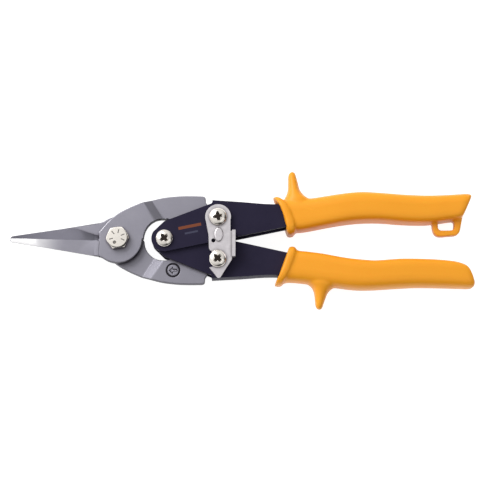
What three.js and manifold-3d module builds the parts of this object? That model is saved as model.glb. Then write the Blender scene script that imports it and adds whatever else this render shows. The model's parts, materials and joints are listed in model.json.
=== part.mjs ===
// Compound-action aviation snips, closed and latched, lying flat.
// Millimetres. +X runs from the blade tips to the ends of the grips, +Y towards the upper handle, +Z up
// from the surface that the tool lies on. The origin is on the blade pivot's axis, at the bolt's end face.
import * as THREE from 'three';
import { mergeVertices } from 'three/addons/utils/BufferGeometryUtils.js';
import Module from 'manifold-3d';

const wasm = await Module();
wasm.setup();

// ---- Driving dimensions ----------------------------------------------------------------------------------

const GAP = 0.3; // air between pieces that touch on the real tool
const FACETS = 28; // sides of a round hole or shank
const THROUGH = 20; // far enough above or below the middle plane to cut through the whole tool

// Linkage: the blades turn on one pivot, the handles on another, and each tail is linked to a handle.
const bladePivot = new THREE.Vector2(0, 0);
const handlePivot = new THREE.Vector2(25.1, 0);
const linkPivot = new THREE.Vector2(53.8, 11.3); // the upper one, the lower one is its mirror image
const lowerLinkPivot = new THREE.Vector2(linkPivot.x, -linkPivot.y);

// Thicknesses across the tool.
const bladeThickness = 4.8;
const wall = 1.8; // handle sheet
const channelPlay = 0.5; // between a blade's tail and the nearer wall of its handle
const latchThickness = 1.8;
const washerThickness = 0.5;
const nutHeight = 2.1;

// Fasteners.
const linkShank = 2.5; // radius of the three Phillips screws' shoulders
const linkHead = 4.7;
const linkHeadHeight = 2.4;
const linkNutFlats = 8;
const bushWall = 1;
const linkagePlay = 0.45; // round the lower bush, where the closed linkage is opened
const nutTurn = 0.66; // angle at which the hexagons stand, in radians
const recessTurn = 0.75; // and the Phillips recesses
const recessSlot = new THREE.Vector3(4.4, 1, 2.2); // twice the depth, half of it is above the head
const boltShank = 3.5;
const boltFlats = 11;
const boltHeadHeight = 4;
const boltNutHeight = 3;
const boltWasherRadius = 6.4;
const latchWasherRadius = 6;
const collarRadius = 4.2; // of the collar under the lower screw's head
const sleeveWall = 0.8; // of the sleeve inside the spring

// Blades.
const discRadius = 13.1; // round boss at the pivot
const hollowRadius = 11.3; // hollow behind it, round the handle pivot
const tailEyeRadius = 6.3;
const jogAngle = THREE.MathUtils.degToRad(33); // direction in which the tail steps to the middle plane
const jogStart = 22;
const jogLength = 4.5;
const tipX = -58.4;
const noseBaseX = -12.8;
const noseHalfHeight = 9.1; // from the axis to a jaw's outer edge, at the nose's base
const tipHalfHeight = 1.8;
const stampCentre = new THREE.Vector2(29.8, 16.6);
const stampRadius = 3.7;
const stampDepth = 0.35;

// Handles.
const noseRadius = 7; // round the handle pivot
const webFrontX = 50.6; // where the back of the channel begins
const webFrontY = 21;
const channelEndX = 167;
const channelEndTop = 22.3;
const channelEndLow = 12.9;

// Spring.
const springWire = 0.6; // radius
const springRadius = 4.8; // to the middle of the wire
const springTurns = 2.5;
const springLeg = new THREE.Vector2(35, 3.2); // where each leg enters its handle, the lower one mirrored

// Latch.
const latchEyeRadius = 6.9;
const notchRadius = 3.5;
const latchTabHeight = 5;
const latchTurnsPerHandle = 60 / 36; // it swings clear while the handles open

// Grips.
const gripHalfThickness = 9.4;
const gripSides = 28;
const palmRoundness = 0.6; // of the outer side of a grip's section, 1 is an ellipse and 0 a box
const fingerRoundness = 0.45; // of the side that faces the other grip
const stopRoundness = 0.85; // of a finger stop's section
const ringsPerRow = 3;
const loopHalfThickness = 2.6;

// ---- Levels, measured from the middle plane --------------------------------------------------------------

const tailTop = bladeThickness / 2;
const innerWall = tailTop + channelPlay; // inside face of the inner wall of each handle
const outerWall = innerWall + wall + GAP; // inside face of the outer wall, which laps the other handle
const handleTop = outerWall + wall; // outside face of the lapping wall
const innerWallTop = innerWall + wall;
const latchBottom = handleTop + GAP + washerThickness + GAP;
const latchTop = latchBottom + latchThickness;
const bladeTop = GAP / 2 + bladeThickness;
const boltHeadBottom = bladeTop + GAP;
const boltWasherBottom = bladeTop + GAP + washerThickness;
const boltNutBottom = boltWasherBottom + GAP + boltNutHeight;
const boltEndRoom = 0.1; // by which the bolt's end stands out below everything else
const restLevel = Math.max(boltNutBottom, gripHalfThickness, handleTop + GAP + nutHeight) + boltEndRoom;

// ---- Materials -------------------------------------------------------------------------------------------

const forgedSteel = new THREE.MeshStandardMaterial({ color: 0x8b8a94, roughness: 0.42, metalness: 0.9 });
const blackPaint = new THREE.MeshStandardMaterial({ color: 0x23212d, roughness: 0.45, metalness: 0.1 });
const yellowGrip = new THREE.MeshStandardMaterial({ color: 0xf5a31f, roughness: 0.5, metalness: 0 });
const zincPlate = new THREE.MeshStandardMaterial({ color: 0xcdc6cb, roughness: 0.35, metalness: 0.9 });
const brightPlate = new THREE.MeshStandardMaterial({ color: 0xe8e2da, roughness: 0.2, metalness: 1 });
const springSteel = new THREE.MeshStandardMaterial({ color: 0x77777c, roughness: 0.35, metalness: 1 });

// ---- Helpers ---------------------------------------------------------------------------------------------

// A closed geometry as a solid that can be joined and cut.
function solid(geometry) {
  const bare = geometry.index ? geometry.toNonIndexed() : geometry.clone();
  bare.deleteAttribute('normal');
  bare.deleteAttribute('uv');
  const merged = mergeVertices(bare, 1e-4);
  return new wasm.Manifold(
    new wasm.Mesh({
      numProp: 3,
      vertProperties: merged.attributes.position.array,
      triVerts: new Uint32Array(merged.index.array),
    }),
  );
}

function splineThrough(points) {
  return new THREE.SplineCurve(points.map(([x, y]) => new THREE.Vector2(x, y)));
}

function geometryOf(body) {
  const made = body.getMesh();
  const geometry = new THREE.BufferGeometry();
  geometry.setAttribute('position', new THREE.BufferAttribute(made.vertProperties, 3));
  geometry.setIndex(new THREE.BufferAttribute(made.triVerts, 1));
  geometry.computeVertexNormals();
  return geometry;
}

function piece(name, body, material) {
  const mesh = new THREE.Mesh(geometryOf(body), material);
  mesh.name = name;
  return mesh;
}

// Turns a piece half round the X axis, which makes an upper piece its lower twin.
function turnedOver(mesh) {
  mesh.rotation.x = Math.PI;
  return mesh;
}

// A flat outline as a slab from one level to another.
function slab(shape, from, to, curveSegments = 8) {
  const depth = to - from;
  const extruded = new THREE.ExtrudeGeometry(shape, { depth, bevelEnabled: false, curveSegments });
  return solid(extruded.translate(0, 0, from));
}

function cylinder(at, radius, from, to, sides = FACETS) {
  const round = new THREE.CylinderGeometry(radius, radius, to - from, sides);
  return solid(round.rotateX(Math.PI / 2).translate(at.x, at.y, (from + to) / 2));
}

function ring(at, inner, outer, from, to) {
  return cylinder(at, outer, from, to).subtract(cylinder(at, inner, from - 1, to + 1));
}

function hexagon(at, flats, from, to) {
  const corner = flats / Math.sqrt(3);
  const prism = new THREE.CylinderGeometry(corner, corner, to - from, 6);
  return solid(prism.rotateX(Math.PI / 2).rotateZ(nutTurn).translate(at.x, at.y, (from + to) / 2));
}

// A solid of revolution about a vertical axis through at, from a profile of [radius, level] pairs.
function turned(at, profile) {
  const lathe = new THREE.LatheGeometry(profile.map(([r, z]) => new THREE.Vector2(r, z)), FACETS);
  return solid(lathe.rotateX(Math.PI / 2).translate(at.x, at.y, 0));
}

// A skin over a row of rings that all hold the same number of points, closed by a fan at each end.
function loft(rings) {
  const sides = rings[0].length;
  const points = rings.flat();
  const faces = [];
  for (let r = 0; r < rings.length - 1; r++) {
    for (let s = 0; s < sides; s++) {
      const a = r * sides + s;
      const b = r * sides + ((s + 1) % sides);
      faces.push(a, b, a + sides, b, b + sides, a + sides);
    }
  }
  const last = (rings.length - 1) * sides;
  for (let s = 1; s < sides - 1; s++) {
    faces.push(0, s + 1, s);
    faces.push(last, last + s, last + s + 1);
  }
  const geometry = new THREE.BufferGeometry().setFromPoints(points);
  geometry.setIndex(faces);
  const body = solid(geometry);
  if (body.volume() > 0) return body;
  geometry.setIndex(faces.reverse());
  return solid(geometry);
}

// ---- Blades ----------------------------------------------------------------------------------------------

// Boss and tail in plan, for the blade whose tail runs to the upper handle.
function bladeOutline() {
  const backOfBoss = noseBaseX + 2.8;
  const shape = new THREE.Shape();
  const start = -Math.acos(-0.62);
  shape.moveTo(backOfBoss, -noseHalfHeight - 0.5);
  shape.lineTo(discRadius * Math.cos(start), discRadius * Math.sin(start));
  shape.absarc(bladePivot.x, bladePivot.y, discRadius, start, 0, false);
  shape.absarc(handlePivot.x, handlePivot.y, hollowRadius, Math.PI, 1.3, true);
  shape.absarc(linkPivot.x, linkPivot.y, tailEyeRadius, -1.75, Math.PI / 2, false);
  const shoulder = webFrontX - 1.9; // it stops the handle's web when the tool is fully open
  const corner = webFrontX - 3.7;
  shape.lineTo(shoulder, linkPivot.y + 5.8);
  shape.lineTo(shoulder - 0.6, linkPivot.y + 8.1);
  shape.quadraticCurveTo(corner, 20.1, corner, 21.6);
  shape.lineTo(corner, 22.3);
  shape.quadraticCurveTo(corner, 24, 44.8, 24);
  shape.splineThru(
    [[38, 24.1], [30.7, 23.8], [22.1, 22.6], [10.9, 19.2], [0.5, 14.1], [-5.6, 9]].map(
      ([x, y]) => new THREE.Vector2(x, y),
    ),
  );
  shape.lineTo(backOfBoss, 3.6);
  shape.closePath();
  return shape;
}

// Side view of the same blade along its jog's direction: flat at the boss, then down to the middle plane.
function bladeSide() {
  const jogEnd = jogStart + jogLength;
  const side = new THREE.Shape();
  side.moveTo(-40, GAP / 2);
  side.lineTo(jogStart, GAP / 2);
  side.lineTo(jogEnd, -tailTop);
  side.lineTo(90, -tailTop);
  side.lineTo(90, tailTop);
  side.lineTo(jogEnd, tailTop);
  side.lineTo(jogStart, bladeTop);
  side.lineTo(-40, bladeTop);
  side.closePath();
  const depth = 160;
  const geometry = new THREE.ExtrudeGeometry(side, { depth, bevelEnabled: false });
  return solid(geometry.translate(0, 0, -depth / 2).rotateX(Math.PI / 2).rotateZ(jogAngle));
}

// The jaw: its inner face is flat, and a bevel runs from the cutting edge up to a ridge. The cutting edge
// leaves the boss near the axis, and then follows the other jaw's outer edge, a little inside it.
function bladeNose() {
  const edgeSlope = 14;
  const inset = 0.5;
  const section = (x, share, high) => {
    const outer = -THREE.MathUtils.lerp(noseHalfHeight, tipHalfHeight, share);
    const edge = Math.min(2.7 + edgeSlope * share, -outer - inset);
    const ridge = THREE.MathUtils.lerp(-0.9, 0.2, share);
    return [
      [edge, GAP / 2],
      [edge, GAP / 2 + 0.5],
      [ridge, high],
      [outer, high * 0.82],
      [outer, GAP / 2],
    ].map(([y, z]) => new THREE.Vector3(x, y, z));
  };
  const rings = [section(noseBaseX + 3.3, -0.06, bladeTop), section(noseBaseX + 2.8, -0.05, bladeTop)];
  const steps = 9;
  for (let i = 0; i <= steps; i++) {
    const share = i / steps;
    const ridgeLevel = THREE.MathUtils.lerp(3.7, 1.8, share);
    rings.push(section(THREE.MathUtils.lerp(noseBaseX, tipX + 1, share), share, ridgeLevel));
  }
  const tip = section(tipX, 1, 1.4);
  tip.forEach((point) => (point.y = -0.6 + (point.y + 0.6) * 0.45));
  rings.push(tip);
  return loft(rings);
}

// The side of the tail with a stamped ring is the one that faces up on the turned-over blade.
function blade(tailHole, stamped) {
  const boss = slab(bladeOutline(), -THROUGH, THROUGH, 10).intersect(bladeSide());
  const stamp = ring(stampCentre, stampRadius - 0.5, stampRadius, -tailTop - 1, -tailTop + stampDepth);
  return (stamped ? boss.subtract(stamp) : boss)
    .add(bladeNose())
    .subtract(cylinder(bladePivot, boltShank + GAP, -THROUGH, THROUGH))
    .subtract(cylinder(linkPivot, tailHole, -THROUGH, THROUGH));
}

// ---- Handles ---------------------------------------------------------------------------------------------

// The back of the upper handle's channel and its open edge, as far as the end inside the grip.
const handleBack = splineThrough(
  [
    [webFrontX, webFrontY], [66, 20.1], [83.5, 19], [105, 20.2], [131, 23.8], [150, 22.9],
    [channelEndX, channelEndTop],
  ],
);
const handleFront = splineThrough(
  [[channelEndX, channelEndLow], [150, 13], [131, 13.7], [109, 10.4], [90.8, 6.9]],
);

// Side view of the upper handle's walls, grown by a margin on its back, open edge and end.
function handleOutline(margin = 0) {
  const openEdge = Math.atan2(13.75, 64.3); // slope of the straight open edge
  const shape = new THREE.Shape();
  shape.moveTo(48.8, 18.7);
  shape.lineTo(webFrontX - 0.5, 19.2);
  shape.lineTo(webFrontX, 19.9);
  shape.lineTo(webFrontX, webFrontY + margin);
  handleBack.getPoints(24).forEach((p) => shape.lineTo(p.x, p.y + margin));
  shape.lineTo(channelEndX + margin, channelEndTop + margin);
  shape.lineTo(channelEndX + margin, channelEndLow - margin);
  handleFront.getPoints(18).forEach((p) => shape.lineTo(p.x, p.y - margin));
  shape.absarc(handlePivot.x, handlePivot.y, noseRadius, openEdge - Math.PI / 2, 2.62, true);
  shape.lineTo(24.9, 9.3);
  shape.closePath();
  return shape;
}

// What is taken out between the walls: all of the front, and everything below the channel's back.
function channelHollow() {
  const shape = new THREE.Shape();
  const far = 60;
  shape.moveTo(webFrontX, far);
  shape.lineTo(0, far);
  shape.lineTo(0, -far);
  shape.lineTo(channelEndX + far, -far);
  shape.lineTo(channelEndX + far, channelEndTop - wall);
  handleBack.getPoints(24).reverse().forEach((p) => shape.lineTo(p.x, p.y - wall));
  shape.closePath();
  return slab(shape, -innerWall, outerWall);
}

function handle() {
  const throughWalls = (at, radius) => cylinder(at, radius, -THROUGH, THROUGH);
  return slab(handleOutline(), -innerWallTop, handleTop, 10)
    .subtract(channelHollow())
    .subtract(throughWalls(handlePivot, linkShank + GAP))
    .subtract(throughWalls(linkPivot, linkShank + GAP))
    .subtract(cylinder(springLeg, springWire + GAP, -THROUGH, 0, 16));
}

// ---- Fasteners, bushes and spring ------------------------------------------------------------------------

// A Phillips screw with a domed head above level, and a plain shoulder down to its far end.
function linkScrew(at, level, end) {
  const top = level + linkHeadHeight;
  const body = turned(at, [
    [0, end],
    [linkShank, end],
    [linkShank, level],
    [linkHead, level],
    [linkHead, level + 0.7],
    [linkHead * 0.86, level + 1.5],
    [linkHead * 0.55, level + 2.1],
    [0, top],
  ]);
  const recess = (turn) => {
    const slot = new THREE.BoxGeometry(...recessSlot);
    return solid(slot.rotateZ(turn).translate(at.x, at.y, top));
  };
  return body.subtract(recess(recessTurn)).subtract(recess(recessTurn + Math.PI / 2));
}

function linkNut(at, top) {
  const nut = hexagon(at, linkNutFlats, top - nutHeight, top);
  return nut.subtract(cylinder(at, linkShank + GAP, top - nutHeight - 1, top + 1));
}

function bladeBolt() {
  const top = boltHeadBottom + boltHeadHeight;
  const corner = boltFlats / Math.sqrt(3) + 0.1;
  const head = hexagon(bladePivot, boltFlats, boltHeadBottom, top);
  const crown = turned(bladePivot, [
    [0, boltHeadBottom - 1],
    [corner, boltHeadBottom - 1],
    [corner, top - 0.9],
    [boltFlats / 2 - 0.3, top],
    [0, top],
  ]);
  return head.intersect(crown).add(cylinder(bladePivot, boltShank, -restLevel, boltHeadBottom + 1));
}

function bladeNut() {
  const nut = hexagon(bladePivot, boltFlats, -boltNutBottom, -boltWasherBottom - GAP);
  return nut.subtract(cylinder(bladePivot, boltShank + GAP, -restLevel - 1, 0));
}

// A torsion spring round the handle pivot. Its lower leg hooks down into the upper handle, and its upper leg
// hooks up into the lower handle, so that it pushes the handles apart.
function torsionSpring() {
  const top = innerWall - GAP - springWire;
  const hookEnd = innerWall + wall * 0.6;
  const bend = 1.2;
  const leg = (side) => [
    new THREE.Vector3(handlePivot.x + 4, springRadius * side, -top * side),
    new THREE.Vector3(springLeg.x - bend, springLeg.y * side, -top * side),
    new THREE.Vector3(springLeg.x, springLeg.y * side, (-top - 0.3) * side),
    new THREE.Vector3(springLeg.x, springLeg.y * side, -hookEnd * side),
  ];
  const points = leg(1).reverse();
  const steps = 40;
  for (let i = 0; i <= steps; i++) {
    const angle = Math.PI / 2 + (i / steps) * springTurns * 2 * Math.PI;
    points.push(
      new THREE.Vector3(
        handlePivot.x + springRadius * Math.cos(angle),
        springRadius * Math.sin(angle),
        THREE.MathUtils.lerp(-top, top, i / steps),
      ),
    );
  }
  points.push(...leg(-1));
  const wire = new THREE.Shape().absarc(0, 0, springWire, 0, 2 * Math.PI, false);
  const extrudePath = new THREE.CatmullRomCurve3(points);
  const geometry = new THREE.ExtrudeGeometry(wire, { steps: 110, curveSegments: 4, extrudePath });
  return solid(geometry);
}

// ---- Latch -----------------------------------------------------------------------------------------------

function latchOutline() {
  const eye = linkPivot;
  const post = lowerLinkPivot;
  const shape = new THREE.Shape();
  shape.moveTo(48.8, 1.4);
  shape.lineTo(49.1, -5.8);
  shape.lineTo(49.8, post.y + notchRadius + 0.9);
  shape.lineTo(post.x - 1, post.y + notchRadius);
  shape.absarc(post.x, post.y, notchRadius, Math.PI / 2, -2.2, true);
  shape.lineTo(50, -14.2);
  shape.lineTo(48.8, -15.4);
  shape.lineTo(53.6, -21.2);
  shape.quadraticCurveTo(54.6, -21.9, 55.7, -20.6);
  shape.lineTo(61.4, -11.6);
  shape.lineTo(61.4, -10.4);
  shape.lineTo(63.2, -10.4);
  shape.lineTo(63.2, 3.8);
  shape.lineTo(60.5, 3.8);
  shape.lineTo(60.4, eye.y - 1);
  shape.absarc(eye.x, eye.y, latchEyeRadius, -0.15, Math.PI + 0.35, false);
  shape.closePath();
  return shape;
}

// The way that the lower link screw takes out of the latch's notch, seen from the latch, while the latch
// swings and the handles open together.
function screwPath() {
  const half = linkShank + GAP;
  const handleTurn = 0.22;
  const steps = 12;
  const centres = Array.from({ length: steps + 1 }, (_, i) => {
    const turn = (i / steps) * handleTurn;
    const point = lowerLinkPivot.clone().rotateAround(handlePivot, -turn);
    return point.rotateAround(linkPivot, -turn * latchTurnsPerHandle);
  });
  const side = (sign) => centres.map((point, i) => {
    const from = centres[Math.max(i - 1, 0)];
    const to = centres[Math.min(i + 1, steps)];
    const along = to.clone().sub(from).normalize();
    return new THREE.Vector2(point.x - along.y * half * sign, point.y + along.x * half * sign);
  });
  const band = new THREE.Shape([...side(1), ...side(-1).reverse()]);
  return slab(band, latchBottom - 1, latchTop + 1);
}

function latch() {
  const tab = new THREE.BoxGeometry(latchThickness, 14.2, latchTabHeight);
  const tabAt = [63.2 - latchThickness / 2, -3.3, latchBottom + latchTabHeight / 2];
  const boss = new THREE.Shape().absellipse(54.2, 1.7, 2.4, 3.9, 0, 2 * Math.PI, false, 0);
  const eyelet = new THREE.Vector2(51.4, -1.5);
  return slab(latchOutline(), latchBottom, latchTop)
    .add(solid(tab.translate(...tabAt)))
    .add(slab(boss, latchBottom + 0.2, latchTop + 0.7))
    .subtract(cylinder(linkPivot, linkShank + GAP, -THROUGH, THROUGH))
    .subtract(cylinder(eyelet, 1.1, -THROUGH, THROUGH, 16))
    .subtract(screwPath());
}

// ---- Grips -----------------------------------------------------------------------------------------------

// Softens a sine or cosine: 1 leaves an ellipse, and less pushes it out towards a box.
function soft(value, roundness) {
  return Math.sign(value) * Math.abs(value) ** roundness;
}

// A skin through rows, each with x and y on the back, x and y on the open side, the half thickness, and how
// far the middle of the section bows out along X. The sections between the rows follow smooth curves.
function sleeve(rows, backRoundness, frontRoundness) {
  const through = (place) => new THREE.CatmullRomCurve3(rows.map(place));
  const back = through(([x, y, , , half]) => new THREE.Vector3(x, y, half));
  const front = through(([, , x, y, , bow = 0]) => new THREE.Vector3(x, y, bow));
  const steps = (rows.length - 1) * ringsPerRow;
  const section = (share) => {
    const outer = back.getPoint(share);
    const inner = front.getPoint(share);
    return Array.from({ length: gripSides }, (_, i) => {
      const angle = ((i + 0.5) / gripSides) * 2 * Math.PI;
      const roundness = Math.cos(angle) > 0 ? backRoundness : frontRoundness;
      const across = (1 + soft(Math.cos(angle), roundness)) / 2;
      return new THREE.Vector3(
        THREE.MathUtils.lerp(inner.x, outer.x, across) + 4 * inner.z * across * (1 - across),
        THREE.MathUtils.lerp(inner.y, outer.y, across),
        outer.z * soft(Math.sin(angle), roundness),
      );
    });
  };
  return loft(Array.from({ length: steps + 1 }, (_, i) => section(i / steps)));
}

// A finger stop: a fin that stands out of the grip's back, with the same kind of rows, from its root up.
function fingerStop(rows) {
  return sleeve(rows, stopRoundness, stopRoundness);
}

function hangLoop() {
  const shape = new THREE.Shape();
  shape.moveTo(185.9, 14);
  shape.lineTo(169, 14);
  shape.lineTo(169.5, 7.4);
  shape.quadraticCurveTo(169.9, 2.9, 173.6, 2.8);
  shape.lineTo(181, 3.4);
  shape.quadraticCurveTo(183.9, 3.7, 184.4, 6.6);
  shape.closePath();
  const window = new THREE.Path();
  window.moveTo(172.4, 11.2);
  window.lineTo(172.5, 7.4);
  window.quadraticCurveTo(172.7, 6.1, 174.1, 6.1);
  window.lineTo(179.4, 6.2);
  window.quadraticCurveTo(181, 6.3, 181.1, 7.7);
  window.lineTo(181.2, 11.2);
  window.closePath();
  shape.holes.push(window);
  return slab(shape, -loopHalfThickness, loopHalfThickness, 5);
}

// The room that a handle takes inside its grip.
function handleRoom() {
  return slab(handleOutline(GAP), -innerWallTop - GAP, handleTop + GAP);
}

function upperGrip() {
  const full = gripHalfThickness;
  const rows = [
    [83.2, 23.5, 91.2, 2.9, full, 2.1],
    [85.4, 23.9, 93.4, 2.7, full + 0.05, 2.1],
    [87, 23.3, 95, 3.7, full - 0.2, 1.9],
    [88, 22.4, 95.6, 4.9, full - 0.9, 1.6],
    [92, 22.4, 98, 5.1, full - 0.9, 0.8],
    [103, 23, 104, 6.1, full - 0.7],
    [112, 24.4, 112, 7.8, full - 0.4],
    [122, 26, 122, 9.6, full - 0.1],
    [131, 26.8, 131, 10.6, full],
    [141, 26.4, 141, 10.8, full - 0.1],
    [154, 25.5, 154, 9.9, full - 0.4],
    [167, 25.1, 167, 9.8, full - 0.7],
    [178, 25.5, 178, 11.3, full - 0.9],
    [190.1, 26, 184.4, 12.4, full - 1.1],
    [190.8, 25, 185.6, 13.6, full - 2.2],
  ];
  const stop = fingerStop([
    [88.2, 18, 107, 17, 7.4],
    [89.2, 22.4, 105, 21.6, 7.6],
    [90.7, 25.4, 100.6, 24.5, 6.8],
    [91.4, 28, 98, 27.8, 5.8],
    [91.5, 32, 96.9, 32, 4.8],
    [91.6, 35.6, 95.9, 35.6, 4.1],
    [92.1, 37.3, 95.4, 37.3, 3.2],
    [93.1, 38.1, 94.5, 38.1, 1.7],
  ]);
  const body = sleeve(rows, palmRoundness, fingerRoundness);
  return body.add(stop).add(hangLoop()).subtract(handleRoom());
}

function lowerGrip() {
  const full = gripHalfThickness;
  const rows = [
    [84.3, -24.3, 92, -3.9, full, 0.8],
    [86.6, -24.7, 94.2, -3.5, full + 0.05, 0.8],
    [88.2, -24.1, 95.6, -4.3, full - 0.2, 0.7],
    [89.4, -22.8, 96.4, -5.5, full - 0.9, 0.5],
    [98, -22.8, 101, -6.1, full - 0.9],
    [108, -24.2, 110, -7.2, full - 0.7],
    [118.6, -25.3, 118.6, -8.8, full - 0.4],
    [125, -26.1, 125, -9.8, full - 0.1],
    [131.6, -26.4, 131.6, -10.4, full],
    [138, -26.2, 138, -10.8, full],
    [151, -25.3, 151, -9.8, full - 0.3],
    [160.8, -24.8, 160.8, -9.7, full - 0.6],
    [174, -24.9, 174, -10.2, full - 0.8],
    [184, -25.1, 183, -11.4, full - 1],
    [190.4, -24.9, 187.6, -13.6, full - 1.6],
    [191.4, -23.2, 189.8, -17.6, full - 3.2],
  ];
  const stop = fingerStop([
    [98.6, -18, 121, -19.4, 7.4],
    [101, -22.4, 118.6, -23.8, 7.6],
    [104.2, -25.1, 115, -26, 6.8],
    [105.4, -27.8, 112.9, -28.2, 5.8],
    [105.9, -31.4, 111.5, -31.6, 4.8],
    [106.2, -34.8, 110.4, -34.8, 4.1],
    [106.8, -36.4, 109.8, -36.4, 3.2],
    [107.7, -37.1, 109, -37.1, 1.7],
  ]);
  const turn = new THREE.Matrix4().makeRotationX(Math.PI);
  const room = solid(geometryOf(handleRoom()).applyMatrix4(turn));
  return sleeve(rows, palmRoundness, fingerRoundness).add(stop).subtract(room);
}

// ---- Assembly --------------------------------------------------------------------------------------------

const screwHole = linkShank + GAP;
const bushRadius = screwHole + bushWall;
const boltHole = boltShank + GAP;

// The bush that a link screw carries through a blade's tail, and the ring that fills its handle's play.
function linkBush() {
  return ring(linkPivot, screwHole, bushRadius, -innerWall + GAP, outerWall - GAP);
}

function tailSpacer(play) {
  return ring(linkPivot, bushRadius + play, tailEyeRadius, tailTop + GAP, outerWall - GAP);
}

const lockWasher = ring(bladePivot, boltHole, boltWasherRadius, -boltWasherBottom, -bladeTop - GAP);
const latchWasher = ring(linkPivot, screwHole, latchWasherRadius, handleTop + GAP, latchBottom - GAP);
const postCollar = ring(lowerLinkPivot, screwHole, collarRadius, innerWallTop + GAP, latchBottom - GAP);
const pivotSleeve = ring(handlePivot, screwHole, screwHole + sleeveWall, GAP - innerWall, innerWall - GAP);
const handleScrewEnd = -handleTop - GAP - nutHeight;

const snips = new THREE.Group();

snips.add(
  piece('near_blade', blade(bushRadius + GAP, false), forgedSteel),
  turnedOver(piece('far_blade', blade(bushRadius + linkagePlay, true), forgedSteel)),
  piece('blade_bolt', bladeBolt(), brightPlate),
  piece('blade_lock_washer', lockWasher, zincPlate),
  piece('blade_nut', bladeNut(), zincPlate),
);

snips.add(
  piece('upper_handle', handle(), blackPaint),
  turnedOver(piece('lower_handle', handle(), blackPaint)),
  piece('upper_grip', upperGrip(), yellowGrip),
  piece('lower_grip', lowerGrip(), yellowGrip),
);

// Upper link, from the near side: screw, latch, washer, wall, spacer, blade tail, wall and nut.
const headLevel = latchTop + GAP;
snips.add(
  piece('upper_link_screw', linkScrew(linkPivot, headLevel, -innerWallTop - GAP - nutHeight), brightPlate),
  piece('upper_link_nut', linkNut(linkPivot, -innerWallTop - GAP), zincPlate),
  piece('upper_link_bush', linkBush(), zincPlate),
  piece('upper_tail_spacer', tailSpacer(GAP), zincPlate),
  piece('latch', latch(), zincPlate),
  piece('latch_washer', latchWasher, zincPlate),
);

// Lower link: the same, turned over, and a collar that lifts the screw's head to the latch's level.
snips.add(
  piece('lower_link_screw', linkScrew(lowerLinkPivot, headLevel, handleScrewEnd), brightPlate),
  piece('lower_link_nut', linkNut(lowerLinkPivot, -handleTop - GAP), zincPlate),
  turnedOver(piece('lower_link_bush', linkBush(), zincPlate)),
  turnedOver(piece('lower_tail_spacer', tailSpacer(linkagePlay), zincPlate)),
  piece('latch_post_collar', postCollar, zincPlate),
);

// Handle pivot.
snips.add(
  piece('handle_pivot_screw', linkScrew(handlePivot, handleTop + GAP, handleScrewEnd), brightPlate),
  piece('handle_pivot_nut', linkNut(handlePivot, -handleTop - GAP), zincPlate),
  piece('handle_pivot_sleeve', pivotSleeve, zincPlate),
  piece('return_spring', torsionSpring(), springSteel),
);

snips.position.z = restLevel;

export default snips;
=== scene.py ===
"""The looks of a pair of compound-action snips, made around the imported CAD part. Metres, in its frame."""

import json
import math

import bmesh
import bpy
from mathutils import Matrix, Vector

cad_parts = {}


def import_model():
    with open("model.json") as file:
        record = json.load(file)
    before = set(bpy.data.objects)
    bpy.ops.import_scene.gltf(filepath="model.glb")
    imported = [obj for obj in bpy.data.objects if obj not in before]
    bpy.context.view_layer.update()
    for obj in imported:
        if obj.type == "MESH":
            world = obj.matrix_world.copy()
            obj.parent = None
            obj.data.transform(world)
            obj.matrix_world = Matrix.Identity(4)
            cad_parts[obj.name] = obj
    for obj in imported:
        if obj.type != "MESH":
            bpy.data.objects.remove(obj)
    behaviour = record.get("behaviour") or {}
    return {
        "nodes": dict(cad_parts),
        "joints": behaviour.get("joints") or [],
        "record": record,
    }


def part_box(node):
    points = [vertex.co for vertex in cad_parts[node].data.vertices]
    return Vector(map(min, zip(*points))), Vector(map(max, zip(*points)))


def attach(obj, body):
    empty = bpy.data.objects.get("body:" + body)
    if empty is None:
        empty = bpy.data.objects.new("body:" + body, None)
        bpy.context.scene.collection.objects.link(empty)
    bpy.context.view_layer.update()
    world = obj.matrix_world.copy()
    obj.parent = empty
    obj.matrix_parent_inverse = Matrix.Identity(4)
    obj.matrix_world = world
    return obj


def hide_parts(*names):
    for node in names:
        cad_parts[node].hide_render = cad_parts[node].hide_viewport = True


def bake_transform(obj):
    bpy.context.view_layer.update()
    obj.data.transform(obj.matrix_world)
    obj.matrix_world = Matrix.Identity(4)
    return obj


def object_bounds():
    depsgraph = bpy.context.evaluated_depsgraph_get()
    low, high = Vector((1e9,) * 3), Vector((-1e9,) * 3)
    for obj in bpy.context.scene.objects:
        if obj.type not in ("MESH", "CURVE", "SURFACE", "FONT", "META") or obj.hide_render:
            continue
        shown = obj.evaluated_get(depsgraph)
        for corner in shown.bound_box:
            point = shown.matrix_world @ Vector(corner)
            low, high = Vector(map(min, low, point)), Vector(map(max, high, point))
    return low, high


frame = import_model()
cad_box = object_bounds()

MM = 0.001
nodes = frame["nodes"]
body_of = {n: b for b, members in frame["record"]["behaviour"]["bodies"].items() for n in members}
pivot = {joint["name"]: Vector(joint["pos_m"]) for joint in frame["joints"]}

BLADE_PIVOT = pivot["blade_pivot"]
HANDLE_PIVOT = pivot["handle_pivot"]
LINK_PIVOT = pivot["upper_link_pivot"]
MID_PLANE = HANDLE_PIVOT.z

# The blades
JAW_START = BLADE_PIVOT.x - 10 * MM
TIP_HIGHLIGHT_START = BLADE_PIVOT.x - 28 * MM  # from here towards the tip the outer bevel gets a painted highlight and less roughness,
TIP_HIGHLIGHT_FULL = BLADE_PIVOT.x - 53 * MM  # and from here on both are full
BOSS_TOP = MID_PLANE + 4.95 * MM
TAIL_TOP = MID_PLANE + 2.4 * MM
STAMP_CENTRE = Vector((29.8, -16.6)) * MM
STAMP_LENGTH = 4.2 * MM
STAMP_DEPTH = 0.25 * MM

# The two bars printed on the upper handle
PRINT_CENTRE = Vector((38.6, 6.6, MID_PLANE / MM + 6.8)) * MM
PRINT_STEP = Vector((0.9, -3.3, 0)) * MM
PRINT_SLOPE = math.radians(12)

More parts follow.
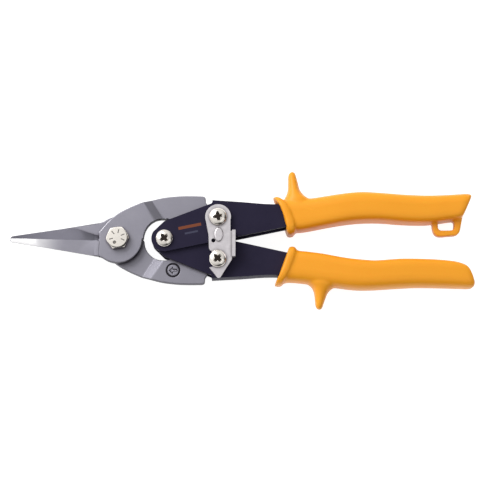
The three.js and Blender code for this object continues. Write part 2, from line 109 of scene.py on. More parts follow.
# Fasteners
SCREW_SHANK = 2.5 * MM
SCREW_HEAD_HEIGHT = 2.4 * MM
BOLT_SHANK = 3.5 * MM
BOLT_HEAD_HEIGHT = 4 * MM
BOLT_FLATS = 11 * MM
SMALL_NUT_FLATS = 8 * MM
BORE_PLAY = 0.1 * MM
HEXAGON_TURN = 0.66 + math.pi / 6

# The spring's wire, its coil and the hooks at the ends of its legs
SPRING_RADIUS = 4.8 * MM
SPRING_WIRE = 0.6 * MM
SPRING_TURNS = 2.5
SPRING_RISE = 2 * MM
SPRING_HOOK = Vector((35, 3.2)) * MM

WEB_FRONT = LINK_PIVOT.x - 3.2 * MM
LEVEL = math.radians(0.4)  # faces that meet at less than this count as one flat face
KEY_DIRECTION = Vector((-0.47, 0.42, 0.53))

# ---- Node materials --------------------------------------------------------------------------------------


class Shader:
    """A Principled material under construction, with short names for the nodes that it needs."""

    def __init__(self, name, **constants):
        self.material = bpy.data.materials.new(name)
        self.material.use_nodes = True
        self.tree = self.material.node_tree
        self.bsdf = self.tree.nodes["Principled BSDF"]
        for socket, value in constants.items():
            self.bsdf.inputs[socket.replace("_", " ")].default_value = value
        self.place = self.tree.nodes.new("ShaderNodeTexCoord").outputs["Object"]

    def node(self, kind, **settings):
        made = self.tree.nodes.new(kind)
        for key, value in settings.items():
            setattr(made, key, value)
        return made

    def link(self, source, target):
        self.tree.links.new(source, target)

    def feed(self, socket, source):
        self.link(source, self.bsdf.inputs[socket])

    def noise(self, scale, detail, rough, stretch=(1, 1, 1)):
        """Noise with this many features per metre, stretched by squeezing the coordinates."""
        mapping = self.node("ShaderNodeMapping")
        mapping.inputs["Scale"].default_value = [scale * s for s in stretch]
        self.link(self.place, mapping.inputs["Vector"])
        made = self.node("ShaderNodeTexNoise")
        made.inputs["Scale"].default_value = 1
        made.inputs["Detail"].default_value = detail
        made.inputs["Roughness"].default_value = rough
        self.link(mapping.outputs["Vector"], made.inputs["Vector"])
        return made.outputs["Fac"]

    def ramp(self, source, *stops):
        """A ramp between two (position, grey) stops."""
        made = self.node("ShaderNodeValToRGB")
        elements = made.color_ramp.elements
        for element, (position, grey) in zip(elements, stops):
            element.position = position
            element.color = (grey, grey, grey, 1)
        self.link(source, made.inputs["Fac"])
        return made.outputs["Color"]

    def span(self, source, low, high):
        """source, from 0 to 1, spread over a range."""
        made = self.node("ShaderNodeMapRange")
        made.inputs["To Min"].default_value = low
        made.inputs["To Max"].default_value = high
        self.link(source, made.inputs["Value"])
        return made.outputs["Result"]

    def math(self, operation, a, b=None):
        """One step of arithmetic on one or two values, each of which is a number or a socket."""
        made = self.node("ShaderNodeMath", operation=operation)
        for value, socket in zip((a, b), made.inputs):
            if isinstance(value, (int, float)):
                socket.default_value = value
            elif value is not None:
                self.link(value, socket)
        return made.outputs["Value"]

    def mix(self, amount, a, b):
        """a where the amount is 0 and b where it's 1. Each of the two is a colour or a socket."""
        made = self.node("ShaderNodeMix", data_type="RGBA")
        self.link(amount, made.inputs["Factor"])
        for value, name in ((a, "A"), (b, "B")):
            if isinstance(value, tuple):
                made.inputs[name].default_value = (*value, 1)
            else:
                self.link(value, made.inputs[name])
        return made.outputs["Result"]

    def bump(self, *heights):
        """Bump from (source, depth in metres) pairs."""
        normal = None
        for source, depth in heights:
            made = self.node("ShaderNodeBump")
            made.inputs["Strength"].default_value = 1
            made.inputs["Distance"].default_value = depth
            self.link(source, made.inputs["Height"])
            if normal is not None:
                self.link(normal, made.inputs["Normal"])
            normal = made.outputs["Normal"]
        self.feed("Normal", normal)

    def edges(self, reach):
        """1 on worn outer edges, where little of the piece lies within reach, and 0 away from them."""
        made = self.node("ShaderNodeAmbientOcclusion", samples=8, only_local=True, inside=True)
        made.inputs["Distance"].default_value = reach
        return self.ramp(made.outputs["AO"], (0.3, 1.0), (0.75, 0.0))

    def open_air(self, reach, low, high, alone=True):
        """0 deep in recesses and corners, 1 out in the open. Alone, a piece isn't shaded by the others."""
        made = self.node("ShaderNodeAmbientOcclusion", samples=8, only_local=alone)
        made.inputs["Distance"].default_value = reach
        return self.ramp(made.outputs["AO"], (low, 0.0), (high, 1.0))

    def parts(self, vector):
        """The X, Y and Z of a vector."""
        made = self.node("ShaderNodeSeparateXYZ")
        self.link(vector, made.inputs["Vector"])
        return [made.outputs[axis] for axis in "XYZ"]

    def between(self, value, low, high):
        """1 where a value lies between two others, and 0 elsewhere."""
        return self.both(self.math("GREATER_THAN", value, low), self.math("LESS_THAN", value, high))

    def both(self, *masks):
        """1 where all of the masks are 1."""
        whole = masks[0]
        for mask in masks[1:]:
            whole = self.math("MULTIPLY", whole, mask)
        return whole

    def stripe(self, centre, half_length, half_height, slope):
        """1 inside a flat printed bar that is turned by a slope, and 0 outside it."""
        mapping = self.node("ShaderNodeMapping", vector_type="TEXTURE")
        mapping.inputs["Location"].default_value = centre
        mapping.inputs["Rotation"].default_value = (0, 0, slope)
        self.link(self.place, mapping.inputs["Vector"])
        offsets = self.parts(mapping.outputs["Vector"])
        halves = (half_length, half_height, 0.3 * MM)
        return self.both(*(self.between(offset, -half, half) for offset, half in zip(offsets, halves)))


def forged_steel():
    """Satin forged steel. Towards the tip the jaws' outer bevels carry a painted highlight and are less
    rough, the cutting bevels carry painted shade, the upright sides are painted dark as shade, the boss's
    shoulder chamfer carries a painted highlight, and corners and gaps carry painted shade.
    """
    s = Shader("forged_steel", Metallic=1.0)
    cloud = s.noise(90, 4, 0.6)
    grain = s.noise(5200, 2, 0.6)
    strokes = s.noise(260, 3, 0.6, stretch=(1, 14, 14))
    shade = s.mix(cloud, (0.235, 0.228, 0.268), (0.295, 0.288, 0.328))
    worn = s.mix(s.edges(0.5 * MM), shade, (0.4, 0.39, 0.42))
    x, y, z = s.parts(s.place)
    _, across, up = s.parts(s.node("ShaderNodeNewGeometry").outputs["True Normal"])
    lean = s.math("MULTIPLY", across, up)
    on_jaw = s.math("LESS_THAN", x, JAW_START)
    steepness = s.math("ABSOLUTE", up)
    level = s.math("GREATER_THAN", steepness, 0.9)
    sloping = s.math("GREATER_THAN", steepness, 0.5)
    side = s.math("LESS_THAN", steepness, 0.5)
    # Painted shade: the jaws' cutting bevels are painted darker, where they face away from the light.
    shaded_cutting_bevel = s.both(on_jaw, sloping, s.math("GREATER_THAN", lean, 0.1))
    # Painted highlight: towards the tip the outer bevels' level faces are painted bright. They are also less
    # rough there.
    tipward = s.node("ShaderNodeMapRange", interpolation_type="SMOOTHSTEP")
    tipward.inputs["From Min"].default_value = TIP_HIGHLIGHT_START
    tipward.inputs["From Max"].default_value = TIP_HIGHLIGHT_FULL
    s.link(x, tipward.inputs["Value"])
    polished_tip_highlight = s.both(level, s.math("LESS_THAN", lean, -0.02), tipward.outputs["Result"])
    # Painted highlight along the boss's shoulder chamfer.
    shoulder_highlight = s.both(
        s.between(x, -11 * MM, -4 * MM),
        s.math("GREATER_THAN", y, 3 * MM),
        s.math("GREATER_THAN", z, BOSS_TOP - 0.9 * MM),
        s.math("LESS_THAN", up, 0.95),
    )
    # Painted shade: the upright sides are painted near-black, on top of the worn edges.
    forged = s.mix(side, worn, (0.07, 0.066, 0.08))
    jaws = s.mix(polished_tip_highlight, s.mix(shaded_cutting_bevel, forged, (0.12, 0.117, 0.14)), (0.88, 0.87, 0.88))
    lit = s.mix(shoulder_highlight, jaws, (0.75, 0.73, 0.78))
    # Painted shade in corners and gaps, and where another piece is near.
    s.feed("Base Color", s.mix(s.open_air(2 * MM, 0.35, 0.9, alone=False), (0.05, 0.04, 0.055), lit))
    blotch = s.math("ADD", s.math("MULTIPLY", strokes, 0.6), s.math("MULTIPLY", cloud, 0.4))
    s.feed("Roughness", s.math("SUBTRACT", s.span(blotch, 0.42, 0.6), s.math("MULTIPLY", polished_tip_highlight, 0.15)))
    s.bump((grain, 0.012 * MM), (strokes, 0.01 * MM))
    return s.material


def black_paint():
    """Semi-gloss paint with a faint peel, and two plain printed bars."""
    s = Shader("black_paint", Specular_IOR_Level=0.03)
    peel = s.noise(1100, 2, 0.4)
    cloud = s.noise(120, 4, 0.6)
    shade = s.mix(cloud, (0.019, 0.0165, 0.034), (0.027, 0.0235, 0.047))
    paint = s.mix(s.edges(0.3 * MM), shade, (0.035, 0.03, 0.05))
    orange = s.stripe(PRINT_CENTRE, 6.2 * MM, 0.8 * MM, PRINT_SLOPE)
    grey = s.stripe(PRINT_CENTRE + PRINT_STEP, 3.6 * MM, 0.5 * MM, PRINT_SLOPE)
    printed = s.mix(orange, s.mix(grey, paint, (0.06, 0.06, 0.095)), (0.19, 0.062, 0.033))
    s.feed("Base Color", printed)
    s.feed("Roughness", s.span(cloud, 0.34, 0.48))
    s.bump((peel, 0.03 * MM))
    return s.material


def yellow_grip():
    """Semi-matt moulded vinyl, with painted shade: deeper in colour where another piece or the floor is
    near.
    """
    s = Shader("yellow_grip", Subsurface_Weight=0.05, Subsurface_Scale=0.002, Specular_IOR_Level=0.35)
    grain = s.noise(3600, 2, 0.5)
    cloud = s.noise(45, 3, 0.5)
    shade = s.mix(cloud, (0.87, 0.325, 0.008), (0.93, 0.375, 0.012))
    # Painted shade: the orange is darkened where another piece or the floor is near.
    s.feed("Base Color", s.mix(s.open_air(30 * MM, 0.25, 0.75, alone=False), (0.6, 0.19, 0.006), shade))
    s.feed("Roughness", s.span(cloud, 0.36, 0.46))
    s.bump((grain, 0.012 * MM))
    return s.material


def zinc_plate():
    """Dull plating with fine scratches along one way, and painted shade in its corners and next to other
    pieces.
    """
    s = Shader("zinc_plate", Metallic=1.0)
    cloud = s.noise(400, 4, 0.6)
    scratches = s.noise(500, 3, 0.65, stretch=(9, 1, 1))
    shade = s.mix(cloud, (0.48, 0.45, 0.47), (0.74, 0.71, 0.73))
    # Painted shade in corners, round the screw heads and next to other pieces that are near.
    s.feed("Base Color", s.mix(s.open_air(1.8 * MM, 0.3, 0.95, alone=False), (0.05, 0.042, 0.045), shade))
    s.feed("Roughness", s.span(scratches, 0.28, 0.5))
    s.bump((scratches, 0.008 * MM))
    return s.material


def bright_plate():
    """Bright plating, with painted shade in the recesses that the mesh marks and in its own corners."""
    s = Shader("bright_plate", Metallic=1.0)
    cloud = s.noise(700, 3, 0.6)
    shade = s.mix(cloud, (0.86, 0.8, 0.73), (0.96, 0.92, 0.86))
    # Painted shade: the marked recesses are painted near-black.
    recess = s.node("ShaderNodeAttribute", attribute_name="recess").outputs["Fac"]
    recess_shade = s.mix(recess, shade, (0.04, 0.032, 0.028))
    # And painted shade in the piece's own corners.
    s.feed("Base Color", s.mix(s.open_air(0.8 * MM, 0.2, 0.6), (0.05, 0.04, 0.035), recess_shade))
    s.feed("Roughness", s.span(cloud, 0.08, 0.18))
    s.bump((cloud, 0.008 * MM))
    return s.material


def spring_steel():
    """Dark drawn wire."""
    s = Shader("spring_steel", Metallic=1.0)
    cloud = s.noise(900, 3, 0.6)
    s.feed("Base Color", s.mix(cloud, (0.16, 0.155, 0.16), (0.26, 0.25, 0.25)))
    s.feed("Roughness", s.span(cloud, 0.25, 0.42))
    s.bump((cloud, 0.006 * MM))
    return s.material


materials = {
    make.__name__: make()
    for make in (forged_steel, black_paint, yellow_grip, zinc_plate, bright_plate, spring_steel)
}
slot_of = {row["node"]: row["material_slot"] for row in frame["record"]["subparts"]}

# ---- Meshes ----------------------------------------------------------------------------------------------


def copied(node):
    """A bmesh of a CAD node, with the triangles of each flat face joined again."""
    bm = bmesh.new()
    bm.from_mesh(nodes[node].data)
    bmesh.ops.remove_doubles(bm, verts=bm.verts, dist=0.02 * MM)
    return joined(bm)


def joined(bm):
    bmesh.ops.dissolve_limit(bm, angle_limit=LEVEL, verts=bm.verts, edges=bm.edges)
    return bm


def fold(edge):
    """How sharply an edge's two faces meet, in degrees."""
    return math.degrees(edge.calc_face_angle(0.0))


def rounded(bm, width, segments, sharper_than, chosen=lambda edge: True, clamp=True):
    """Rounds the edges of a bmesh that are chosen and that fold more sharply than an angle in degrees."""
    edges = [e for e in bm.edges if fold(e) > sharper_than and chosen(e)]
    bmesh.ops.bevel(
        bm, geom=edges, offset=width, offset_type="OFFSET", segments=segments, profile=0.5,
        affect="EDGES", clamp_overlap=clamp, loop_slide=True,
    )
    return bm


def piece(name, bm, node, smooth_to=40):
    """Makes an object of a bmesh. It stands for a CAD node, rides with it and takes its material."""
    mesh = bpy.data.meshes.new(name)
    bmesh.ops.recalc_face_normals(bm, faces=bm.faces)
    bm.to_mesh(mesh)
    bm.free()
    return dressed(name, mesh, node, smooth_to)


def dressed(name, mesh, node, smooth_to=40):
    """Makes an object of a mesh, shaded smooth but for its large level faces."""
    if mesh.has_custom_normals:
        mesh.attributes.remove(mesh.attributes["custom_normal"])
    mesh.set_sharp_from_angle(angle=math.radians(smooth_to))
    for polygon in mesh.polygons:
        polygon.use_smooth = abs(polygon.normal.z) < 0.9999 or polygon.area < 2 * MM * MM
    obj = bpy.data.objects.new(name, mesh)
    bpy.context.scene.collection.objects.link(obj)
    mesh.materials.clear()
    mesh.materials.append(materials[slot_of[node]])
    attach(obj, body_of[node])
    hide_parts(node)
    return obj


def evaluated(obj):
    """The mesh of an object after its modifiers, in place of the object."""
    bpy.context.view_layer.update()
    mesh = bpy.data.meshes.new_from_object(obj.evaluated_get(bpy.context.evaluated_depsgraph_get()))
    bpy.data.objects.remove(obj)
    return mesh


def combined(body, *cuts, operation="DIFFERENCE"):
    """A bmesh after boolean cuts by others."""
    target = loose(body)
    for cut in cuts:
        tool = loose(cut)
        modifier = target.modifiers.new("cut", "BOOLEAN")
        modifier.operation = operation
        modifier.solver = "EXACT"
        modifier.object = tool
        mesh = evaluated(target)
        bpy.data.objects.remove(tool)
        target = bpy.data.objects.new("target", mesh)
        bpy.context.scene.collection.objects.link(target)
    bm = bmesh.new()
    bm.from_mesh(target.data)
    bpy.data.objects.remove(target)
    return bm


def loose(bm):
    """An object of a bmesh, for booleans."""
    mesh = bpy.data.meshes.new("loose")
    bm.to_mesh(mesh)
    bm.free()
    obj = bpy.data.objects.new("loose", mesh)
    bpy.context.scene.collection.objects.link(obj)
    return obj


def turned(centre, profile, steps=64):
    """A solid of revolution about a vertical axis, from (radius, level) pairs that start and end on it."""
    bm = bmesh.new()
    rings = []
    for radius, level in profile:
        if radius == 0:
            rings.append([bm.verts.new((centre.x, centre.y, level))])
            continue
        angles = [2 * math.pi * i / steps for i in range(steps)]
        rings.append(
            [
                bm.verts.new((centre.x + radius * math.cos(a), centre.y + radius * math.sin(a), level))
                for a in angles
            ]
        )
    for low, high in zip(rings, rings[1:]):
        for i in range(steps):
            j = (i + 1) % steps
            if len(low) == 1:
                bm.faces.new((low[0], high[j], high[i]))
            elif len(high) == 1:
                bm.faces.new((low[i], low[j], high[0]))
            else:
                bm.faces.new((low[i], low[j], high[j], high[i]))
    bmesh.ops.recalc_face_normals(bm, faces=bm.faces)
    return bm


def prism(points, low, high):
    """A flat outline of (x, y) pairs as a slab."""
    bm = bmesh.new()
    bottom = [bm.verts.new((x, y, low)) for x, y in points]
    top = [bm.verts.new((x, y, high)) for x, y in points]
    bm.faces.new(bottom[::-1])
    bm.faces.new(top)
    for i in range(len(points)):
        j = (i + 1) % len(points)
        bm.faces.new((bottom[i], bottom[j], top[j], top[i]))
    bmesh.ops.recalc_face_normals(bm, faces=bm.faces)
    return bm


# ---- Fasteners -------------------------------------------------------------------------------------------


def dome(radius, base, height):
    """The profile of a domed head: a short upright rim, then an arc that is flat on the axis."""
    steps = 10
    rim = height * 0.22
    points = [(radius - 0.2 * MM, base), (radius, base + 0.2 * MM)]
    for i in range(steps + 1):
        angle = math.pi / 2 * i / steps
        level = base + rim + (height - rim) * math.sin(angle) ** 1.1
        points.append((radius * math.cos(angle) ** 0.85, level))
    points[-1] = (0, base + height)
    return points


def cross_recess(centre, top, turn):
    """A Phillips recess: four tapered wings that narrow towards the bottom."""
    bm = bmesh.new()
    levels = [(top + 0.5 * MM, 3.3 * MM, 0.72 * MM), (top - 1.9 * MM, 1.6 * MM, 0.4 * MM)]
    rings = []
    for level, reach, half in levels:
        corner = half * 1.6
        outline = []
        for quarter in range(4):
            spin = Matrix.Rotation(turn + quarter * math.pi / 2, 3, "Z")
            wing = ((corner, -corner, 0), (reach, -half, 0), (reach, half, 0))
            outline += [spin @ Vector(point) for point in wing]
        rings.append([bm.verts.new((centre.x + p.x, centre.y + p.y, level)) for p in outline])
    count = len(rings[0])
    bm.faces.new(rings[0])
    bm.faces.new(rings[1][::-1])
    for i in range(count):
        j = (i + 1) % count
        bm.faces.new((rings[0][i], rings[0][j], rings[1][j], rings[1][i]))
    bmesh.ops.recalc_face_normals(bm, faces=bm.faces)
    return bm


def link_screw(node, turn):
    """A screw with a domed head, whose Phillips recess is turned by an angle."""
    low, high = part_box(node)
    centre = (low + high) / 2
    radius = (high.x - low.x) / 2
    base = high.z - SCREW_HEAD_HEIGHT
    chamfer = 0.4 * MM
    shank = [(0, low.z), (SCREW_SHANK - chamfer, low.z), (SCREW_SHANK, low.z + chamfer), (SCREW_SHANK, base)]
    profile = shank + dome(radius, base, SCREW_HEAD_HEIGHT)
    bm = combined(turned(centre, profile), cross_recess(centre, high.z, turn))

    def on_dome(edge):
        return all(v.co.z > base + 0.3 * MM for v in edge.verts)

    rounded(bm, 0.06 * MM, 1, 40, on_dome)
    # The cross recess is marked for painted shade.
    mark_recess(bm, centre, 2.6 * MM, base, high.z - 0.6 * MM, 1.0)
    return piece(node + "_fine", bm, node)


def mark_recess(bm, centre, radius, low, high, amount):
    """Marks the points of a head that lie near its axis and between two levels, for the painted shade."""
    depth = bm.verts.layers.float.new("recess")
    for vert in bm.verts:
        beside = Vector((vert.co.x - centre.x, vert.co.y - centre.y)).length
        if beside < radius and low < vert.co.z < high:
            vert[depth] = amount


def hexagon(centre, flats):
    """The corners of a hexagon that is so wide across its flats."""
    corner = flats / math.sqrt(3)
    angles = [HEXAGON_TURN + i * math.pi / 3 for i in range(6)]
    return [(centre.x + corner * math.cos(a), centre.y + corner * math.sin(a)) for a in angles]


def bolt_head(top):
    """A hexagon head with a chamfered crown that rises a little towards its axis."""
    base = top - BOLT_HEAD_HEIGHT
    crown = turned(
        BLADE_PIVOT,
        [
            (0, base - 1 * MM), (BOLT_FLATS * 0.6, base - 1 * MM), (BOLT_FLATS * 0.6, top - 1.5 * MM),
            (BOLT_FLATS * 0.51, top - 0.4 * MM), (BOLT_FLATS * 0.47, top), (0, top + 0.15 * MM),
        ],
    )
    block = prism(hexagon(BLADE_PIVOT, BOLT_FLATS), base, top + 1 * MM)
    return rounded(combined(block, crown, operation="INTERSECT"), 0.22 * MM, 3, 25)


def heading(degrees):
    """A level direction at an angle from +X."""
    return Vector((math.cos(math.radians(degrees)), math.sin(math.radians(degrees)), 0))


def blade_bolt():
    """The pivot bolt. Five plain grooves and a dimple mark its head."""
    node = "blade_bolt"
    low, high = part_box(node)
    top = high.z
    over = top + 0.5 * MM
    head = bolt_head(top)
    dimple = turned(
        BLADE_PIVOT + heading(-115) * 3.1 * MM,
        [(0, top - 0.35 * MM), (0.75 * MM, top - 0.3 * MM), (1.15 * MM, over), (0, over)],
        32,
    )
    head = combined(head, dimple)
    for degrees in (79, 133, 196, -23, 24):
        direction = heading(degrees)
        side = Vector((-direction.y, direction.x, 0))
        corners = []
        for along, across in ((2.2, -0.22), (4.3, -0.3), (4.3, 0.3), (2.2, 0.22)):
            corner = BLADE_PIVOT + direction * along * MM + side * across * MM
            corners.append((corner.x, corner.y))
        head = combined(head, prism(corners, top - 0.3 * MM, over))
    # The grooves and the dimple are marked for a lighter painted shade.
    mark_recess(head, BLADE_PIVOT, 4.5 * MM, top - 0.5 * MM, top - 0.15 * MM, 0.75)
    chamfer = 0.5 * MM
    shank_top = top - BOLT_HEAD_HEIGHT / 2
    shank = turned(
        BLADE_PIVOT,
        [
            (0, low.z), (BOLT_SHANK - chamfer, low.z), (BOLT_SHANK, low.z + chamfer),
            (BOLT_SHANK, shank_top), (0, shank_top),
        ],
    )
    merge(head, shank)
    return piece("blade_bolt_fine", head, node)


def merge(bm, other):
    """Adds another bmesh's shells to one."""
    mesh = bpy.data.meshes.new("shell")
    other.to_mesh(mesh)
    other.free()
    bm.from_mesh(mesh)
    bpy.data.meshes.remove(mesh)


def nut(node, flats, bore):
    """A hexagon nut with both faces chamfered and a countersunk bore."""
    low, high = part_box(node)
    centre = (low + high) / 2
    slope = 0.5 * MM
    outer = turned(
        centre,
        [
            (0, low.z), (flats * 0.47, low.z), (flats * 0.6, low.z + slope), (flats * 0.6, high.z - slope),
            (flats * 0.47, high.z), (0, high.z),
        ],
    )
    hole = turned(
        centre,
        [
            (0, low.z - 1 * MM), (bore + 1.4 * MM, low.z - 1 * MM), (bore, low.z + 0.4 * MM),
            (bore, high.z + 1 * MM), (0, high.z + 1 * MM),
        ],
    )
    bm = combined(prism(hexagon(centre, flats), low.z, high.z), outer, operation="INTERSECT")
    bm = combined(bm, hole)
    rounded(bm, 0.08 * MM, 1, 25)
    return piece(node + "_fine", bm, node)


# ---- Handles, blades, latch ------------------------------------------------------------------------------


def is_wall(face):
    """Whether a face of a channel lies level, as its two walls do."""
    return abs(face.normal.z) > 0.95


def channel(node):
    """A pressed channel: a wide bend where its walls meet the back, and thin deburred edges."""
    low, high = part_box(node)
    bm = copied(node)
    back = 1 if "upper" in node else -1

    def on_bend(edge):
        faces = edge.link_faces
        if len(faces) != 2 or not any(is_wall(f) for f in faces):
            return False
        other = next((f for f in faces if not is_wall(f)), None)
        if other is None or other.normal.y * back < 0.8:
            return False
        outside = any(min(abs(v.co.z - low.z), abs(v.co.z - high.z)) < 0.01 * MM for v in edge.verts)
        return outside and min(v.co.x for v in edge.verts) > WEB_FRONT - 0.5 * MM

    rounded(bm, 1.5 * MM, 5, 60, on_bend)
    rounded(bm, 0.22 * MM, 2, 40)
    return piece(node + "_fine", bm, node)


def arrow(centre, length, turn):
    """The outline of a plain arrow that points at an angle from +X."""
    upper = [(0.05, 0.4), (0.05, 0.12), (-0.5, 0.12)]
    lower = [(x, -y) for x, y in reversed(upper)]
    spin = Matrix.Rotation(turn, 2)
    return [centre + spin @ Vector(point) * length for point in [(0.5, 0)] + upper + lower]


def blade(node):
    """A forged blade: soft folds where the tail steps down, rounded outer edges and crisp jaws."""
    bm = copied(node)
    if node == "far_blade":
        outline = arrow(STAMP_CENTRE, STAMP_LENGTH, math.pi)
        bm = joined(combined(bm, prism(outline, TAIL_TOP - STAMP_DEPTH, TAIL_TOP + 1 * MM)))

    def on_nose(edge):
        return max(v.co.x for v in edge.verts) < JAW_START

    def behind_nose(edge):
        return not on_nose(edge)

    def on_step(edge):
        return behind_nose(edge) and fold(edge) < 35 and edge.calc_length() > 6 * MM

    rounded(bm, 0.9 * MM, 4, 25, on_step, clamp=False)
    rounded(bm, 0.45 * MM, 4, 40, behind_nose, clamp=False)
    rounded(bm, 0.15 * MM, 3, 20, on_nose)
    made = piece(node + "_fine", bm, node, smooth_to=26)
    for polygon in made.data.polygons:
        if polygon.center.x > JAW_START and abs(polygon.normal.z) > 0.8 and polygon.area > 4 * MM * MM:
            polygon.use_smooth = False
    return made


def latch():
    """The latch plate: a wide bend under its tab, a soft bump and thin deburred edges."""
    node = "latch"
    low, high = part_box(node)
    bm = copied(node)
    bump_top = low.z + 2.5 * MM

    def on_bend(edge):
        return all(v.co.x > high.x - 0.01 * MM and v.co.z < low.z + 0.01 * MM for v in edge.verts)

    def on_bump(edge):
        return all(abs(v.co.z - bump_top) < 0.02 * MM for v in edge.verts)

    rounded(bm, 1.3 * MM, 5, 60, on_bend)
    rounded(bm, 0.6 * MM, 4, 40, on_bump)
    rounded(bm, 0.2 * MM, 2, 40)
    return piece("latch_fine", bm, node)


def softened(node):
    """A turned ring or sleeve, with its edges broken."""
    return piece(node + "_fine", rounded(copied(node), 0.12 * MM, 2, 40), node)


# ---- Grips -----------------------------------------------------------------------------------------------


def grip(node):
    """A moulded grip: the CAD solid, remeshed finely and relaxed, so that all its corners blend."""
    mesh = nodes[node].data.copy()
    obj = bpy.data.objects.new("grip", mesh)
    bpy.context.scene.collection.objects.link(obj)
    remesh = obj.modifiers.new("remesh", "REMESH")
    remesh.mode = "VOXEL"
    remesh.voxel_size = 0.5 * MM
    relax = obj.modifiers.new("relax", "SMOOTH")
    relax.factor = 0.5
    relax.iterations = 10
    thin = obj.modifiers.new("thin", "DECIMATE")
    thin.ratio = 0.5
    return dressed(node + "_fine", evaluated(obj), node, smooth_to=180)


# ---- Spring ----------------------------------------------------------------------------------------------


def spring():
    """A torsion spring round the handle pivot, with a leg hooked into each handle."""
    _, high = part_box("return_spring")
    leg_end = high.z - MID_PLANE

    def leg(side):
        return [
            (HANDLE_PIVOT.x + 4 * MM, SPRING_RADIUS * side, -SPRING_RISE * side),
            (SPRING_HOOK.x - 1.2 * MM, SPRING_HOOK.y * side, -SPRING_RISE * side),
            (SPRING_HOOK.x, SPRING_HOOK.y * side, (-SPRING_RISE - 0.3 * MM) * side),
            (SPRING_HOOK.x, SPRING_HOOK.y * side, -leg_end * side),
        ]

    points = leg(1)[::-1]
    steps = 120
    for i in range(steps + 1):
        angle = math.pi / 2 + i / steps * SPRING_TURNS * 2 * math.pi
        points.append(
            (
                HANDLE_PIVOT.x + SPRING_RADIUS * math.cos(angle),
                SPRING_RADIUS * math.sin(angle),
                -SPRING_RISE + 2 * SPRING_RISE * i / steps,
            )
        )
    points += leg(-1)
    curve = bpy.data.curves.new("spring", "CURVE")
    curve.dimensions = "3D"
    curve.bevel_depth = SPRING_WIRE
    curve.bevel_resolution = 4
    curve.use_fill_caps = True
    line = curve.splines.new("POLY")
    line.points.add(len(points) - 1)
    for point, place in zip(line.points, points):
        point.co = (place[0], place[1], place[2] + MID_PLANE, 1)
    obj = bpy.data.objects.new("spring", curve)
    bpy.context.scene.collection.objects.link(obj)
    mesh = evaluated(obj)
    for polygon in mesh.polygons:
        polygon.use_smooth = True
    made = bpy.data.objects.new("return_spring_fine", mesh)
    bpy.context.scene.collection.objects.link(made)
    mesh.materials.clear()
    mesh.materials.append(materials["spring_steel"])
    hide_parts("return_spring")
    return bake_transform(made)


# ---- The object ------------------------------------------------------------------------------------------

blade("near_blade")
blade("far_blade")
blade_bolt()
nut("blade_nut", BOLT_FLATS, BOLT_SHANK + BORE_PLAY)
channel("upper_handle")
channel("lower_handle")
grip("upper_grip")
grip("lower_grip")
latch()
for screw, turn in (("upper_link_screw", 0.2), ("lower_link_screw", 0.8), ("handle_pivot_screw", 0.7)):
    link_screw(screw, turn)
for small_nut in ("upper_link_nut", "lower_link_nut", "handle_pivot_nut"):
    nut(small_nut, SMALL_NUT_FLATS, SCREW_SHANK + BORE_PLAY)
for ring in (
    "blade_lock_washer", "latch_washer", "latch_post_collar", "upper_link_bush", "lower_link_bush",
    "upper_tail_spacer", "lower_tail_spacer", "handle_pivot_sleeve",
):
    softened(ring)
spring()

# ---- Stage, light and camera -----------------------------------------------------------------------------


def floor():
    """A white floor, a hair below the part."""
    bm = bmesh.new()
    half = 3.0
    corners = [(-half, -half), (half, -half), (half, half), (-half, half)]
    bm.faces.new([bm.verts.new((x, y, cad_box[0].z - 0.02 * MM)) for x, y in corners])
    mesh = bpy.data.meshes.new("floor")
    bm.to_mesh(mesh)
    bm.free()
    obj = bpy.data.objects.new("floor", mesh)
    bpy.context.scene.collection.objects.link(obj)
    material = bpy.data.materials.new("floor")
    material.use_nodes = True
    bsdf = material.node_tree.nodes["Principled BSDF"]
    bsdf.inputs["Base Color"].default_value = (0.35, 0.35, 0.35, 1)
    bsdf.inputs["Roughness"].default_value = 0.9
    bsdf.inputs["Emission Color"].default_value = (1, 1, 1, 1)
    bsdf.inputs["Emission Strength"].default_value = 0.9
    mesh.materials.append(material)


def softbox(name, place, size, power, target):
    """A rectangular light that faces a target."""
    light = bpy.data.lights.new(name, "AREA")
    light.shape = "RECTANGLE"
    light.size, light.size_y = size
    light.energy = power
    obj = bpy.data.objects.new(name, light)
    obj.location = place
    obj.rotation_euler = (Vector(target) - Vector(place)).to_track_quat("-Z", "Y").to_euler()
    bpy.context.scene.collection.objects.link(obj)


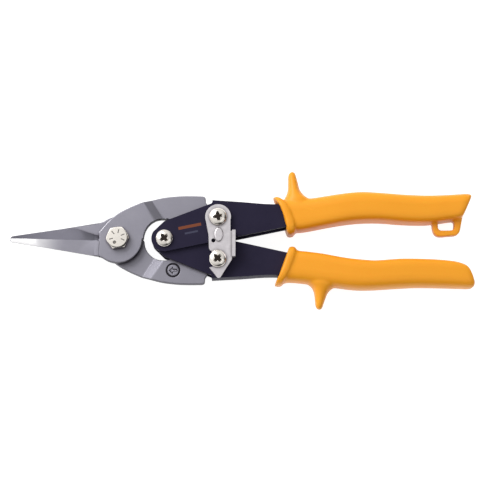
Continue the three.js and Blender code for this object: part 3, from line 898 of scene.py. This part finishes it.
def world():
    """A studio that is bright overhead and on the key light's side, and dim low down on the other."""
    made = bpy.data.worlds.new("studio")
    made.use_nodes = True
    tree = made.node_tree
    direction = tree.nodes.new("ShaderNodeTexCoord").outputs["Generated"]
    facing = tree.nodes.new("ShaderNodeVectorMath")
    facing.operation = "DOT_PRODUCT"
    facing.inputs[1].default_value = KEY_DIRECTION.normalized()
    tree.links.new(direction, facing.inputs[0])
    spread = tree.nodes.new("ShaderNodeMapRange")
    spread.inputs["From Min"].default_value = -0.3
    tree.links.new(facing.outputs["Value"], spread.inputs["Value"])
    shades = tree.nodes.new("ShaderNodeValToRGB")
    elements = shades.color_ramp.elements
    for i, (position, grey) in enumerate(((0.0, 0.02), (1.0, 1.0), (0.22, 0.2), (0.4, 0.6))):
        element = elements[i] if i < 2 else elements.new(position)
        element.color = (grey, grey, grey, 1)
    tree.links.new(spread.outputs["Result"], shades.inputs["Fac"])
    tree.links.new(shades.outputs["Color"], tree.nodes["Background"].inputs["Color"])
    bpy.context.scene.world = made


def camera():
    """Looks down from the lower handle's side, 10 degrees off the vertical."""
    lens = 100
    sensor = 36
    view_width = 259.4 * MM
    elevation = math.radians(80)
    roll = math.radians(0.39)
    target = Vector((65.6 * MM, 0.5 * MM, MID_PLANE))
    distance = view_width * lens / sensor
    data = bpy.data.cameras.new("camera")
    data.lens = lens
    data.sensor_width = sensor
    data.clip_start = 0.01
    obj = bpy.data.objects.new("camera", data)
    direction = Vector((0, -math.cos(elevation), math.sin(elevation)))
    facing = (-direction).to_track_quat("-Z", "Y").to_matrix() @ Matrix.Rotation(roll, 3, "Z")
    obj.matrix_world = Matrix.Translation(target + direction * distance) @ facing.to_4x4()
    bpy.context.scene.collection.objects.link(obj)
    bpy.context.scene.camera = obj


centre = (Vector(cad_box[0]) + Vector(cad_box[1])) / 2
bpy.context.scene.view_settings.view_transform = "Standard"
floor()
world()
softbox("key", centre + KEY_DIRECTION, (0.7, 0.5), 4.5, centre)
softbox("fill", centre + Vector((0.5, -0.3, 0.6)), (0.6, 0.6), 0.6, centre)
camera()
